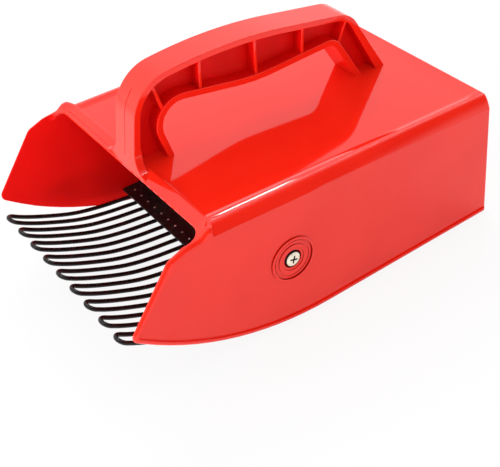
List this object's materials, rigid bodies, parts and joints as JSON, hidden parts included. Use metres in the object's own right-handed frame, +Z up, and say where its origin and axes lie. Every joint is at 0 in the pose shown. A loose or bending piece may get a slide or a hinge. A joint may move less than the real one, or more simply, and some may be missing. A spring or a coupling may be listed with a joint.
{
  "type": "berry picking rake",
  "caption": "Hand rake for picking berries: an open plastic hood with a bow handle, a folded steel floor and a comb of wire loop tines at its mouth.",
  "frame": {"origin": "centre of the rake's outline from above, at the level of the hood's flat underside", "axes": "+Z up, the tines point towards -Y, the rear wall faces +Y, X runs across and X = 0 is the plane of symmetry"},
  "size_m": [0.138, 0.2136, 0.1202],
  "materials": {
    "red_plastic": "glossy moulded, bright warm red",
    "coated_steel": "glossy black coating over steel",
    "plated_steel": "pale yellow zinc plating"
  },
  "bodies": {
    "root": {"hood": "red_plastic", "floor_pan": "coated_steel", "tine_1": "coated_steel", "tine_2": "coated_steel", "tine_3": "coated_steel", "tine_4": "coated_steel", "tine_5": "coated_steel", "tine_6": "coated_steel", "tine_7": "coated_steel", "tine_8": "coated_steel", "tine_9": "coated_steel", "side_screw_right": "plated_steel", "washer_right": "plated_steel", "nut_right": "plated_steel", "side_screw_left": "plated_steel", "washer_left": "plated_steel", "nut_left": "plated_steel"}
  },
  "joints": []
}
